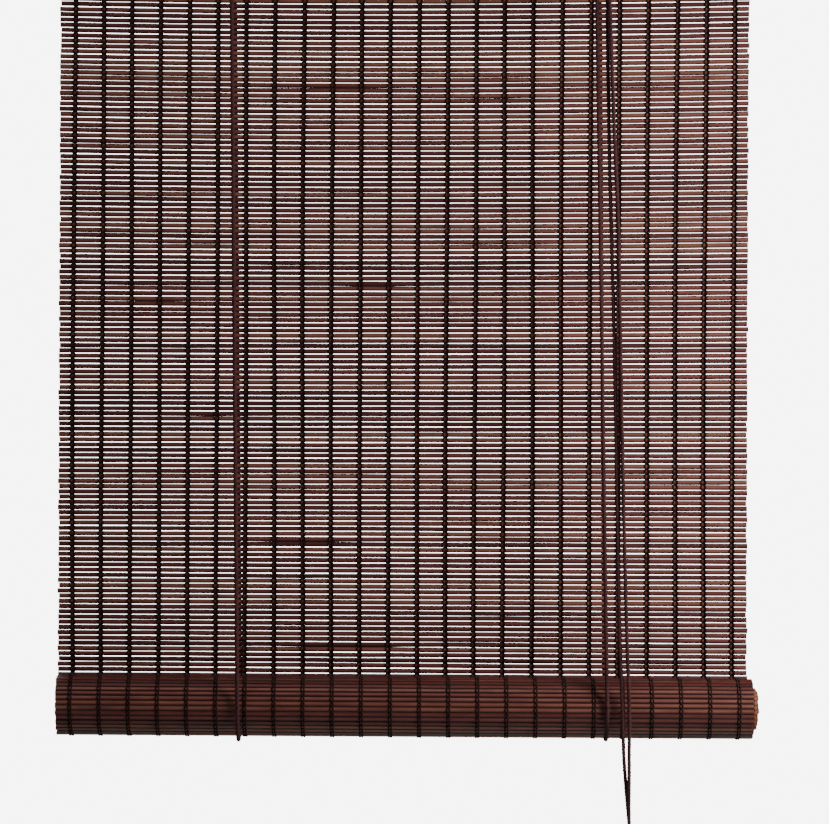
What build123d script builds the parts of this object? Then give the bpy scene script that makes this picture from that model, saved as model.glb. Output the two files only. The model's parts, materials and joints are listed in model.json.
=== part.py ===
from build123d import *
import math
import os

os.makedirs("parts", exist_ok=True)

# A bamboo roll up blind, partly rolled up, in millimetres. The wall is the plane y = 0, the room
# lies towards -Y and +Z is up. The origin lies midway between the two wall screws.

# The hanging mat: flat slats bound by pairs of threads, one thread strip in front and one behind.
mat_width = 600.0
slat_height = 3.5
slat_gap = 1.08
slat_thickness = 1.2
slat_chamfer = 0.25
thread_width = 4.6
thread_thickness = 0.3
thread_spacing = 25.0
thread_edge = 12.5
mat_back_y = -6.0
mat_below_batten_top = 2.0

# The rolled part of the mat, wound round a rod in front of the hanging part.
roll_radius = 27.0
roll_layer_pitch = 2.0
roll_clearance = 0.3
outer_half_turns = 5
outer_turns_left = -299.5
outer_turns_right = 301.5
inner_turns_shift = 5.0
rod_radius = 10.0
rod_clearance = 0.15
rod_end_inset = 3.0
raised_roll_clearance = 15.0
hanging_drop = 727.0

# The head batten and the two angle brackets that hold it off the wall.
batten_depth = 45.0
batten_height = 20.0
batten_chamfer = 1.0
bracket_inset = 50.0
bracket_width = 24.0
bracket_steel = 2.0
bracket_upright = 28.0
bracket_reach = 42.0
wall_hole_radius = 2.25
bracket_screw_y = -30.0
bracket_screw_radius = 1.5
bracket_screw_length = 14.0

# Small screws, staples and their wire.
pulley_screw_radius = 1.25
pulley_screw_length = 12.0
screw_head_height = 1.8
staple_wire = 0.8
staple_bite = 8.0
staple_spacing = 50.0
staple_edge = 25.0
staple_span_slats = 2
anchor_leg_gap = 4.3

# The lift cords: up the front, under the roll and up the back of the mat.
cord_radius = 1.5
cord_clearance = 0.3
left_loop_x = -142.4
left_front_top_x = -148.0
left_back_top_x = -147.7
right_loop_x = 174.8
right_front_top_x = 164.0
right_back_top_x = 171.0
back_cord_below_top = 6.0
knot_radius = 2.6
loop_to_pull_cord = 0.5

# The sheaves, their pins and the folded steel that carries them.
sheave_pitch_radius = 5.0
sheave_rim_radius = 6.8
sheave_half_width = 2.4
groove_half_width = 1.7
groove_clearance = 0.2
sheave_side_gap = 0.2
sheave_pin_radius = 1.5
running_clearance = 0.05
pin_head_radius = 2.6
pin_head_height = 0.9
plate_steel = 1.2
sheave_below_plate = 7.3
header_entry = 1.0
left_bracket_half_width = 8.0
cheek_half_width = 6.5
cheek_below_sheave = 8.5

# The cord lock: a weighted cam pinches the two pull cords against a fixed jaw.
cam_below_sheave = 17.5
cam_hub_radius = 3.0
cam_nose_radius = 2.0
cam_nose_reach = 3.1
cam_tail_radius = 3.0
cam_tail_reach = 5.0
cam_clearance = 0.3
cam_pin_radius = 1.25
jaw_height = 16.0
housing_left_margin = 1.7
housing_right_margin = 5.2
housing_below_cam = 7.0
housing_screw_inset = 3.5
lock_screw_below_sheave = 2.0
left_screw_above_sheave = 3.0
left_screw_below_sheave = 5.0
plate_above_batten_bottom = 2.0
jaw_clearance = 0.1

# The free ends of the two pull cords: hanging, tied up in a hank, ending in a turned acorn.
hank_x = 191.4
hank_top_z = -875.0
hank_run = 45.0
hank_outer_radius = 19.5
hank_waist = 24.0
hank_waist_half_height = 5.0
hank_shoulder = 9.0
hank_depth = 12.0
tie_wall = 2.0
tie_height = 8.0
cord_sink = 1.0
tail_spacing = 3.2
tail_length = 36.0
acorn_length = 30.0
acorn_neck_radius = 5.0
acorn_belly_radius = 9.5
acorn_bore_radius = 3.4
acorn_cup_radius = 6.5
acorn_cup_depth = 12.0
acorn_knot_radius = 5.4
acorn_above_knot = 0.9

# Places worked out from the sizes above.
mat_thickness = slat_thickness + 2 * thread_thickness
mat_front_y = mat_back_y - mat_thickness
slat_pitch = slat_height + slat_gap
batten_top_z = -bracket_upright / 2
batten_bottom_z = batten_top_z - batten_height
batten_back_y = mat_front_y
batten_front_y = batten_back_y - batten_depth
mat_top_z = batten_top_z - mat_below_batten_top
roll_y = mat_front_y - roll_clearance - roll_radius
roll_z = batten_bottom_z - hanging_drop
roll_girth = 2 * math.pi * roll_radius
raised_roll_limit = batten_bottom_z - raised_roll_clearance - roll_radius
lift_turns = int((raised_roll_limit - roll_z) / roll_girth)
roll_lift = lift_turns * roll_girth
raised_roll_z = roll_z + roll_lift
upper_slats = int((mat_top_z - raised_roll_z) / slat_pitch)
lower_top_z = mat_top_z - upper_slats * slat_pitch
lower_slats = int((lower_top_z - roll_z) / slat_pitch)
lower_bottom_z = lower_top_z - lower_slats * slat_pitch + slat_gap
thread_columns = int((mat_width - 2 * thread_edge) / thread_spacing) + 1
loop_radius = roll_radius + cord_clearance + cord_radius
front_cord_y = roll_y - loop_radius
back_cord_y = mat_back_y + cord_clearance + cord_radius
back_cord_top_z = batten_top_z - back_cord_below_top
rear_sheave_y = front_cord_y - 2 * cord_radius - loop_to_pull_cord
front_sheave_y = rear_sheave_y - 2 * sheave_half_width - sheave_side_gap
sheave_z = batten_top_z - plate_steel - sheave_below_plate
header_z = sheave_z + sheave_pitch_radius
entry_z = sheave_z - header_entry
left_sheave_x = left_front_top_x + sheave_pitch_radius
lock_sheave_x = right_front_top_x + sheave_pitch_radius
pull_cord_x = lock_sheave_x + sheave_pitch_radius
cam_z = sheave_z - cam_below_sheave
cam_x = pull_cord_x + cord_radius + cam_clearance + cam_nose_radius + cam_nose_reach
lock_bottom_z = cam_z - housing_below_cam


def save(part, name):
    """Labels a finished piece and writes it to its own file."""
    part.label = name
    export_step(part, f"parts/{name}.step")


def corner_radii(points):
    """The arc at each corner: 0.45 of the shorter run over the tangent of half the turn."""
    radii = []
    for before, corner, after in zip(points, points[1:], points[2:]):
        run_in = Vector(*corner) - Vector(*before)
        run_out = Vector(*after) - Vector(*corner)
        half_turn = math.radians(run_in.get_angle(run_out)) / 2
        radii.append(0.45 * min(run_in.length, run_out.length) / math.tan(half_turn))
    return radii


def cord_tube(points, radii):
    """A round cord along straight runs joined by arcs."""
    with BuildPart() as tube:
        with BuildLine() as route:
            FilletPolyline(*points, radius=radii)
        with BuildSketch(Plane(origin=route.line @ 0, z_dir=route.line % 0)):
            Circle(cord_radius)
        sweep(path=route.line)
    length = sum(edge.length for edge in route.line.edges())
    ratio = tube.part.volume / (math.pi * cord_radius**2 * length)
    print(f"tube {length:.1f} mm, volume ratio {ratio:.4f}, radii", end=" ")
    print([round(radius, 1) for radius in radii])
    return tube.part


def straight_cord(low, high):
    """A cord pulled straight between two points, with level ends."""
    run = Vector(*high) - Vector(*low)
    with BuildPart() as cord:
        with BuildSketch(Plane(origin=low)):
            Circle(cord_radius)
        extrude(amount=run.length, dir=run)
    return cord.part


def screw(shank_radius, length):
    """A pan head screw that points down, its head's seat at z = 0."""
    head_radius = 2 * shank_radius
    with BuildPart() as fastener:
        with BuildSketch(Plane.XZ):
            with BuildLine():
                Line((0, screw_head_height), (head_radius * 0.6, screw_head_height))
                ThreePointArc(
                    (head_radius * 0.6, screw_head_height),
                    (head_radius * 0.92, screw_head_height * 0.7),
                    (head_radius, 0),
                )
                Polyline(
                    (head_radius, 0),
                    (shank_radius, 0),
                    (shank_radius, -length + 2 * shank_radius),
                    (0, -length),
                    (0, screw_head_height),
                )
            make_face()
        revolve(axis=Axis.Z)
        with Locations((0, 0, screw_head_height)):
            Box(head_radius, 0.5, 1.0, mode=Mode.SUBTRACT)
            Box(0.5, head_radius, 1.0, mode=Mode.SUBTRACT)
    return fastener.part


def headed_pin(x, z, radius, back_y, front_y):
    """A pin along Y through two cheeks, with a flat head outside each."""
    with BuildPart() as pin:
        with BuildSketch(Plane.XZ.offset(-back_y)):
            with Locations((x, z)):
                Circle(radius)
        extrude(amount=back_y - front_y)
        for seat_y, step in ((back_y, -pin_head_height), (front_y, pin_head_height)):
            with BuildSketch(Plane.XZ.offset(-seat_y)):
                with Locations((x, z)):
                    Circle(pin_head_radius)
            extrude(amount=step)
    return pin.part


def sheave(x, y):
    """A grooved wheel that turns about Y."""
    bore = sheave_pin_radius + running_clearance
    groove = sheave_pitch_radius - cord_radius - groove_clearance
    with BuildPart() as wheel:
        with BuildSketch(Plane(origin=(x, y, sheave_z))):
            with BuildLine():
                Polyline(
                    (bore, -sheave_half_width),
                    (sheave_rim_radius, -sheave_half_width),
                    (sheave_rim_radius, -groove_half_width),
                    (groove, -groove_half_width),
                    (groove, groove_half_width),
                    (sheave_rim_radius, groove_half_width),
                    (sheave_rim_radius, sheave_half_width),
                    (bore, sheave_half_width),
                    close=True,
                )
            make_face()
        revolve(axis=Axis((x, y, sheave_z), (0, 1, 0)))
    return wheel.part


def slats(top_z, count):
    """Level slats, the highest with its top edge at top_z."""
    middle_y = mat_back_y - mat_thickness / 2
    middle_z = top_z - slat_height / 2 - (count - 1) * slat_pitch / 2
    with BuildPart() as group:
        with BuildSketch(Plane.YZ) as profiles:
            with Locations((middle_y, middle_z)):
                with GridLocations(slat_thickness, slat_pitch, 1, count):
                    Rectangle(slat_thickness, slat_height)
            chamfer(profiles.vertices(), slat_chamfer)
        extrude(amount=mat_width / 2, both=True)
    return group.part


def threads(front_y, top_z, bottom_z):
    """One face's thread strips, one for each column."""
    with BuildPart() as strips:
        with BuildSketch(Plane.XZ.offset(-front_y)):
            with Locations((0, (top_z + bottom_z) / 2)):
                with GridLocations(thread_spacing, 1, thread_columns, 1):
                    Rectangle(thread_width, top_z - bottom_z)
        extrude(amount=-thread_thickness)
    return strips.part


# The mat's hanging part. The upper slats never leave the batten, and the lower ones roll up.
with BuildPart() as mat_slats_upper:
    add(slats(mat_top_z, upper_slats))
save(mat_slats_upper.part, "mat_slats_upper")

with BuildPart() as mat_slats_lower:
    add(slats(lower_top_z, lower_slats))
save(mat_slats_lower.part, "mat_slats_lower")

for face, front_y in (("front", mat_front_y), ("back", mat_back_y - thread_thickness)):
    with BuildPart() as threads_upper:
        add(threads(front_y, mat_top_z, lower_top_z))
    save(threads_upper.part, f"{face}_threads_upper")
    with BuildPart() as threads_lower:
        add(threads(front_y, lower_top_z, lower_bottom_z))
    save(threads_lower.part, f"{face}_threads_lower")

# The rolled mat is one spiral sheet made of half turns whose centres step to and fro. Its outer
# turns are flush with the mat's edges, and its inner turns have crept out to the right.
half_pitch = roll_layer_pitch / 2
centre_step = half_pitch / 2
first_half_radius = roll_radius - centre_step
winding_depth = first_half_radius - mat_thickness - rod_radius - centre_step - rod_clearance
half_turns = int(winding_depth / half_pitch) + 1


def half_turn_arc(turn, inset):
    """One half turn of the spiral: even ones pass below the rod, odd ones above it."""
    side = 1 if turn % 2 == 0 else -1
    start_angle = 0 if turn % 2 == 0 else 180
    radius = first_half_radius - turn * half_pitch - inset
    return CenterArc((side * centre_step, 0), radius, start_angle, -180)


def winding(left_x, right_x, first, last):
    """The sheet from one half turn to another, as wide as its two end places."""
    with BuildPart() as sheet:
        with BuildSketch(Plane(origin=(left_x, roll_y, roll_z), x_dir=(0, 1, 0), z_dir=(1, 0, 0))):
            with BuildLine():
                outer = [half_turn_arc(turn, 0) for turn in range(first, last)]
                inner = [half_turn_arc(turn, mat_thickness) for turn in range(first, last)]
                Line(outer[0] @ 0, inner[0] @ 0)
                Line(outer[-1] @ 1, inner[-1] @ 1)
            make_face()
        extrude(amount=right_x - left_x)
    return sheet.part


inner_turns_left = outer_turns_left + inner_turns_shift
inner_turns_right = outer_turns_right + inner_turns_shift
with BuildPart() as rolled_mat:
    add(winding(outer_turns_left, outer_turns_right, 0, outer_half_turns))
    add(winding(inner_turns_left, inner_turns_right, outer_half_turns, half_turns))
save(rolled_mat.part, "rolled_mat")

rod_left = inner_turns_left + rod_end_inset
rod_right = inner_turns_right - rod_end_inset
with BuildPart() as bottom_rod:
    with BuildSketch(Plane.YZ.offset(rod_left)):
        with Locations((roll_y, roll_z)):
            Circle(rod_radius)
    extrude(amount=rod_right - rod_left)
    chamfer(bottom_rod.edges().filter_by(GeomType.CIRCLE), batten_chamfer)
save(bottom_rod.part, "bottom_rod")

# The head batten, with pilot holes for every screw that enters it.
batten_middle_y = (batten_front_y + batten_back_y) / 2
batten_middle_z = (batten_top_z + batten_bottom_z) / 2
bracket_x = mat_width / 2 - bracket_inset
left_plate_screws = [
    (left_sheave_x, sheave_z + left_screw_above_sheave),
    (left_sheave_x, sheave_z - left_screw_below_sheave),
]
lock_left_x = lock_sheave_x - sheave_rim_radius - housing_left_margin
lock_right_x = cam_x + housing_right_margin
lock_plate_screws = [
    (lock_left_x + housing_screw_inset, sheave_z - lock_screw_below_sheave),
    (lock_right_x - housing_screw_inset, sheave_z - lock_screw_below_sheave),
]
front_screws = left_plate_screws + lock_plate_screws
with BuildPart() as head_batten:
    with Locations((0, batten_middle_y, batten_middle_z)):
        Box(mat_width, batten_depth, batten_height)
    chamfer(head_batten.edges(), batten_chamfer)
    with BuildSketch(Plane.XY.offset(batten_top_z)):
        with Locations((-bracket_x, bracket_screw_y), (bracket_x, bracket_screw_y)):
            Circle(bracket_screw_radius)
    extrude(amount=-bracket_screw_length + bracket_steel, mode=Mode.SUBTRACT)
    with BuildSketch(Plane.XZ.offset(-batten_front_y)):
        with Locations(*front_screws):
            Circle(pulley_screw_radius)
    extrude(amount=-pulley_screw_length + plate_steel, mode=Mode.SUBTRACT)
save(head_batten.part, "head_batten")

# Each wall bracket is one folded strip: an upright on the wall and a leg on the batten's top.
for side, name in ((-1, "left_wall_bracket"), (1, "right_wall_bracket")):
    with BuildPart() as wall_bracket:
        with BuildSketch(Plane.YZ):
            with BuildLine():
                Polyline(
                    (0, batten_top_z),
                    (0, bracket_upright / 2),
                    (-bracket_steel, bracket_upright / 2),
                    (-bracket_steel, batten_top_z + bracket_steel),
                    (-bracket_reach, batten_top_z + bracket_steel),
                    (-bracket_reach, batten_top_z),
                    close=True,
                )
            make_face()
        extrude(amount=bracket_width / 2, both=True)
        ends = wall_bracket.edges().filter_by(Axis.Y).group_by(Axis.Z)[-1]
        ends += wall_bracket.edges().filter_by(Axis.Z).group_by(Axis.Y)[0]
        fillet(ends, bracket_width / 4)
        fold = wall_bracket.edges().filter_by(Axis.X).sort_by_distance((0, 0, batten_top_z))[0]
        fillet(fold, bracket_steel * 0.9)
        with BuildSketch(Plane.XZ):
            Circle(wall_hole_radius)
        extrude(amount=bracket_steel, mode=Mode.SUBTRACT)
        with BuildSketch(Plane.XY.offset(batten_top_z)):
            with Locations((0, bracket_screw_y)):
                Circle(bracket_screw_radius)
        extrude(amount=bracket_steel, mode=Mode.SUBTRACT)
    save(Pos(side * bracket_x, 0, 0) * wall_bracket.part, name)

with BuildPart() as bracket_screws:
    for side in (-1, 1):
        with Locations((side * bracket_x, bracket_screw_y, batten_top_z + bracket_steel)):
            add(screw(bracket_screw_radius, bracket_screw_length))
save(bracket_screws.part, "bracket_screws")

with BuildPart() as pulley_screws:
    for x, z in front_screws:
        with Locations(Location((x, batten_front_y - plate_steel, z), (90, 0, 0))):
            add(screw(pulley_screw_radius, pulley_screw_length))
save(pulley_screws.part, "pulley_screws")


def gap_middle(slat):
    """The height of the middle of the gap below a slat, counted from the mat's top."""
    return mat_top_z - slat * slat_pitch - slat_height - slat_gap / 2


# The mat's staples stand upright, each leg in a gap between two slats.
leg_back_y = mat_back_y + staple_wire
leg_front_y = mat_front_y - staple_bite
staple_high = gap_middle(0)
staple_low = gap_middle(staple_span_slats)
staple_count = int((mat_width - 2 * staple_edge) / staple_spacing) + 1
with BuildPart() as mat_staples:
    with Locations((0, (leg_back_y + leg_front_y) / 2, 0)):
        with GridLocations(staple_spacing, 1, staple_count, 1):
            for leg_z in (staple_high, staple_low):
                with Locations((0, 0, leg_z)):
                    Box(staple_wire, leg_back_y - leg_front_y, staple_wire)
    crown_height = staple_high - staple_low
    with Locations((0, mat_back_y + staple_wire / 2, (staple_high + staple_low) / 2)):
        with GridLocations(staple_spacing, 1, staple_count, 1):
            Box(staple_wire, staple_wire, crown_height)
save(mat_staples.part, "mat_staples")

# Level staples clamp each lift cord's end behind the batten, under its knot.
anchor_places = []
for top_x, loop_x in ((left_back_top_x, left_loop_x), (right_back_top_x, right_loop_x)):
    for slat in (1, 3):
        anchor_z = gap_middle(slat)
        share = (back_cord_top_z - anchor_z) / (back_cord_top_z - roll_z)
        anchor_places.append((top_x + (loop_x - top_x) * share, anchor_z))
anchor_back_y = back_cord_y + cord_radius + cord_clearance + staple_wire
with BuildPart() as cord_anchor_staples:
    for x, z in anchor_places:
        with Locations((x, anchor_back_y - staple_wire / 2, z)):
            Box(anchor_leg_gap + 2 * staple_wire, staple_wire, staple_wire)
        for side in (-1, 1):
            leg_x = x + side * (anchor_leg_gap + staple_wire) / 2
            with Locations((leg_x, (anchor_back_y + leg_front_y) / 2, z)):
                Box(staple_wire, anchor_back_y - leg_front_y, staple_wire)
save(cord_anchor_staples.part, "cord_anchor_staples")

knot_y = max(back_cord_y, mat_back_y + knot_radius + cord_clearance)
knot_z = back_cord_top_z + knot_radius * 0.7
with BuildPart() as cord_end_knots:
    with Locations((left_back_top_x, knot_y, knot_z), (right_back_top_x, knot_y, knot_z)):
        Sphere(knot_radius)
    split(bisect_by=Plane.XY.offset(back_cord_top_z), keep=Keep.TOP)
save(cord_end_knots.part, "cord_end_knots")

# The left pulley: one folded plate with two cheeks, a sheave and its pin.
rear_cheek_y = rear_sheave_y + sheave_half_width + sheave_side_gap
left_front_cheek_y = rear_sheave_y - sheave_half_width - sheave_side_gap
lock_front_cheek_y = front_sheave_y - sheave_half_width - sheave_side_gap
plate_bottom_z = batten_bottom_z + plate_above_batten_bottom


def folded_plate(left_x, right_x, cheek_left, cheek_right, front_cheek_y, bottom_z, screws, pins):
    """A steel carrier: a screwed back flange, a level top and two cheeks that hang from it."""
    top_z = batten_top_z
    cheek_middle_x = (cheek_left + cheek_right) / 2
    cheek_height = top_z - bottom_z
    with BuildPart() as plate:
        with BuildSketch(Plane.YZ.offset(left_x)):
            with BuildLine():
                Polyline(
                    (batten_front_y, plate_bottom_z),
                    (batten_front_y, top_z),
                    (front_cheek_y - plate_steel, top_z),
                    (front_cheek_y - plate_steel, top_z - plate_steel),
                    (batten_front_y - plate_steel, top_z - plate_steel),
                    (batten_front_y - plate_steel, plate_bottom_z),
                    close=True,
                )
            make_face()
        extrude(amount=right_x - left_x)
        for cheek_y in (rear_cheek_y + plate_steel, front_cheek_y):
            with BuildSketch(Plane.XZ.offset(-cheek_y)) as cheek:
                with Locations((cheek_middle_x, top_z - cheek_height / 2)):
                    Rectangle(cheek_right - cheek_left, cheek_height)
                fillet(cheek.vertices().group_by(Axis.Z)[0], cheek_half_width / 2)
            extrude(amount=plate_steel)
        for x, z, radius in pins:
            with BuildSketch(Plane.XZ.offset(-rear_cheek_y - plate_steel)):
                with Locations((x, z)):
                    Circle(radius)
            extrude(amount=rear_cheek_y - front_cheek_y + 2 * plate_steel, mode=Mode.SUBTRACT)
        with BuildSketch(Plane.XZ.offset(-batten_front_y)):
            with Locations(*screws):
                Circle(pulley_screw_radius)
        extrude(amount=plate_steel, mode=Mode.SUBTRACT)
    return plate


left_pulley_bracket = folded_plate(
    left_sheave_x - left_bracket_half_width,
    left_sheave_x + left_bracket_half_width,
    left_sheave_x - cheek_half_width,
    left_sheave_x + cheek_half_width,
    left_front_cheek_y,
    sheave_z - cheek_below_sheave,
    left_plate_screws,
    [(left_sheave_x, sheave_z, sheave_pin_radius)],
)
save(left_pulley_bracket.part, "left_pulley_bracket")

with BuildPart() as left_pulley_sheave:
    add(sheave(left_sheave_x, rear_sheave_y))
save(left_pulley_sheave.part, "left_pulley_sheave")

left_pin_ends = (rear_cheek_y + plate_steel, left_front_cheek_y - plate_steel)
with BuildPart() as left_pulley_pin:
    add(headed_pin(left_sheave_x, sheave_z, sheave_pin_radius, *left_pin_ends))
save(left_pulley_pin.part, "left_pulley_pin")

# The right pulley and cord lock share one carrier, with a fixed jaw folded between its cheeks.
jaw_right_x = pull_cord_x - cord_radius - jaw_clearance
lock_housing = folded_plate(
    lock_left_x,
    lock_right_x,
    lock_left_x,
    lock_right_x,
    lock_front_cheek_y,
    lock_bottom_z,
    lock_plate_screws,
    [
        (lock_sheave_x, sheave_z, sheave_pin_radius),
        (cam_x, cam_z, cam_pin_radius),
    ],
)
with lock_housing:
    jaw_middle_y = (rear_cheek_y + lock_front_cheek_y) / 2
    with Locations((jaw_right_x - plate_steel / 2, jaw_middle_y, lock_bottom_z + jaw_height / 2)):
        Box(plate_steel, rear_cheek_y - lock_front_cheek_y, jaw_height)
save(lock_housing.part, "lock_housing")

with BuildPart() as lock_rear_sheave:
    add(sheave(lock_sheave_x, rear_sheave_y))
save(lock_rear_sheave.part, "lock_rear_sheave")

with BuildPart() as lock_front_sheave:
    add(sheave(lock_sheave_x, front_sheave_y))
save(lock_front_sheave.part, "lock_front_sheave")

lock_pin_ends = (rear_cheek_y + plate_steel, lock_front_cheek_y - plate_steel)
with BuildPart() as lock_sheave_pin:
    add(headed_pin(lock_sheave_x, sheave_z, sheave_pin_radius, *lock_pin_ends))
save(lock_sheave_pin.part, "lock_sheave_pin")

with BuildPart() as lock_cam_pin:
    add(headed_pin(cam_x, cam_z, cam_pin_radius, *lock_pin_ends))
save(lock_cam_pin.part, "lock_cam_pin")

# The cam's heavier tail keeps its nose up against the cords.
with BuildPart() as lock_cam:
    with BuildSketch(Plane.XZ.offset(-rear_cheek_y + sheave_side_gap)):
        with Locations((cam_x, cam_z)):
            Circle(cam_hub_radius)
        with Locations((cam_x - cam_nose_reach, cam_z)):
            Circle(cam_nose_radius)
        with Locations((cam_x + cam_tail_reach / 2, cam_z)):
            SlotCenterToCenter(cam_tail_reach, 2 * cam_tail_radius)
        with Locations((cam_x, cam_z)):
            Circle(cam_pin_radius + running_clearance, mode=Mode.SUBTRACT)
    extrude(amount=rear_cheek_y - lock_front_cheek_y - 2 * sheave_side_gap)
save(lock_cam.part, "lock_cam")

# The lift cords: a straight back run, a loop under the roll and a straight front run.
loop_flat_y = back_cord_y - loop_radius
for side, top_x, loop_x, back_top_x in (
    ("left", left_front_top_x, left_loop_x, left_back_top_x),
    ("right", right_front_top_x, right_loop_x, right_back_top_x),
):
    with BuildPart() as back_run:
        add(straight_cord((loop_x, back_cord_y, roll_z), (back_top_x, back_cord_y, back_cord_top_z)))
    save(back_run.part, f"{side}_cord_back_run")
    with BuildPart() as cord_loop:
        with BuildLine(Plane(origin=(loop_x, 0, roll_z), x_dir=(0, 1, 0), z_dir=(1, 0, 0))) as loop:
            CenterArc((loop_flat_y, 0), loop_radius, 0, -90)
            Line((loop_flat_y, -loop_radius), (roll_y, -loop_radius))
            CenterArc((roll_y, 0), loop_radius, -90, -90)
        with BuildSketch(Plane(origin=(loop_x, back_cord_y, roll_z), z_dir=(0, 0, -1))):
            Circle(cord_radius)
        sweep(path=loop.line)
    save(cord_loop.part, f"{side}_cord_loop")
    with BuildPart() as front_run:
        add(straight_cord((loop_x, front_cord_y, roll_z), (top_x, rear_sheave_y, entry_z)))
    save(front_run.part, f"{side}_cord_front_run")

# Over the sheaves: the left cord crosses to the lock, and the right one turns straight down.
left_header_route = [
    (left_front_top_x, rear_sheave_y, entry_z),
    (left_front_top_x, rear_sheave_y, header_z),
    (pull_cord_x, front_sheave_y, header_z),
    (pull_cord_x, front_sheave_y, entry_z),
]
with BuildPart() as left_header_cord:
    add(cord_tube(left_header_route, [sheave_pitch_radius] * 2))
save(left_header_cord.part, "left_header_cord")

with BuildPart() as right_header_cord:
    with BuildLine(Plane.XZ.offset(-rear_sheave_y)) as turn:
        Line((right_front_top_x, entry_z), (right_front_top_x, sheave_z))
        CenterArc((lock_sheave_x, sheave_z), sheave_pitch_radius, 180, -180)
        Line((pull_cord_x, sheave_z), (pull_cord_x, entry_z))
    with BuildSketch(Plane(origin=(right_front_top_x, rear_sheave_y, entry_z))):
        Circle(cord_radius)
    sweep(path=turn.line)
save(right_header_cord.part, "right_header_cord")

# The pull cords hang from the lock to the hank. The route's points are chosen by hand.
right_pull_route = [
    (pull_cord_x, rear_sheave_y, entry_z),
    (174.0, rear_sheave_y, -50.0),
    (174.2, -67.5, -95.0),
    (174.5, -67.7, -152.0),
    (175.4, -67.9, -222.0),
    (176.5, -67.9, -294.0),
    (178.1, -67.7, -352.0),
    (180.9, -67.6, -452.0),
    (182.8, -67.7, -578.0),
    (185.2, -67.5, -702.0),
    (187.6, -67.2, -756.0),
    (188.9, -66.9, -812.0),
    (189.6, -66.0, hank_top_z - cord_sink),
]
left_pull_route = [
    (pull_cord_x, front_sheave_y, entry_z),
    (174.0, front_sheave_y, -50.0),
    (174.7, -72.3, -95.0),
    (176.6, -72.0, -152.0),
    (178.9, -71.6, -222.0),
    (181.5, -71.3, -294.0),
    (184.2, -71.1, -352.0),
    (185.9, -70.9, -452.0),
    (188.2, -70.5, -578.0),
    (191.2, -70.0, -702.0),
    (193.6, -69.4, -756.0),
    (193.3, -68.2, -812.0),
    (193.6, -66.4, hank_top_z - cord_sink),
]

# The hank is a racetrack of turns, drawn in at its waist by the tie.
hank_height = hank_run + 2 * hank_outer_radius
hank_middle_z = hank_top_z - hank_height / 2
hank_bottom_z = hank_top_z - hank_height
hank_y = right_pull_route[-1][1]
shoulder_z = hank_waist_half_height + hank_shoulder
tail_top_z = hank_bottom_z + cord_sink
tail_bottom_z = hank_bottom_z - tail_length
tail_x = tail_spacing / 2
acorn_top_z = tail_bottom_z + acorn_length - acorn_cup_depth + acorn_above_knot
acorn_bottom_z = acorn_top_z - acorn_length
for name, route, tail_side in (
    ("pull_cord_right", right_pull_route, -1),
    ("pull_cord_left", left_pull_route, 1),
):
    with BuildPart() as pull_cord:
        add(cord_tube(route, corner_radii(route)))
        x = hank_x + tail_side * tail_x
        add(straight_cord((x, hank_y, tail_bottom_z), (x, hank_y, tail_top_z)))
    save(pull_cord.part, name)

with BuildPart() as pull_cord_hank:
    with BuildSketch(Plane.XZ.offset(-hank_y - hank_depth / 2)):
        with BuildLine(Plane.XZ.offset(-hank_y - hank_depth / 2)):
            half_waist = hank_waist / 2
            for side in (-1, 1):
                edge_x = hank_x + side * hank_outer_radius
                waist_x = hank_x + side * half_waist
                Polyline(
                    (edge_x, hank_middle_z + hank_run / 2),
                    (edge_x, hank_middle_z + shoulder_z),
                    (waist_x, hank_middle_z + hank_waist_half_height),
                    (waist_x, hank_middle_z - hank_waist_half_height),
                    (edge_x, hank_middle_z - shoulder_z),
                    (edge_x, hank_middle_z - hank_run / 2),
                )
            CenterArc((hank_x, hank_middle_z + hank_run / 2), hank_outer_radius, 0, 180)
            CenterArc((hank_x, hank_middle_z - hank_run / 2), hank_outer_radius, 180, 180)
        make_face()
    extrude(amount=hank_depth)
save(pull_cord_hank.part, "pull_cord_hank")

with BuildPart() as hank_tie:
    with BuildSketch(Plane.XY.offset(hank_middle_z - tie_height / 2)):
        with Locations((hank_x, hank_y)):
            RectangleRounded(hank_waist + 2 * tie_wall, hank_depth + 2 * tie_wall, tie_wall)
            Rectangle(hank_waist, hank_depth, mode=Mode.SUBTRACT)
    extrude(amount=tie_height)
save(hank_tie.part, "hank_tie")

# The acorn is turned wood, bored for both cords, with a cup below that hides their knot.
with BuildPart() as cord_acorn:
    with BuildSketch(Plane(origin=(hank_x, hank_y, acorn_bottom_z), x_dir=(1, 0, 0), z_dir=(0, -1, 0))):
        with BuildLine():
            Line((acorn_cup_radius, 0), (acorn_belly_radius - 1.5, 0))
            Spline(
                (acorn_belly_radius - 1.5, 0),
                (acorn_belly_radius, acorn_length * 0.3),
                (acorn_belly_radius * 0.78, acorn_length * 0.65),
                (acorn_neck_radius, acorn_length),
            )
            Polyline(
                (acorn_neck_radius, acorn_length),
                (acorn_bore_radius, acorn_length),
                (acorn_bore_radius, acorn_cup_depth),
                (acorn_cup_radius, acorn_cup_depth - 2.0),
                (acorn_cup_radius, 0),
            )
        make_face()
    revolve(axis=Axis((hank_x, hank_y, 0), (0, 0, 1)))
save(cord_acorn.part, "cord_acorn")

knot_middle_z = tail_bottom_z - acorn_knot_radius * 0.7
with BuildPart() as cord_knot:
    with Locations((hank_x, hank_y, knot_middle_z)):
        Sphere(acorn_knot_radius)
    split(bisect_by=Plane.XY.offset(tail_bottom_z), keep=Keep.BOTTOM)
save(cord_knot.part, "cord_knot")

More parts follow.
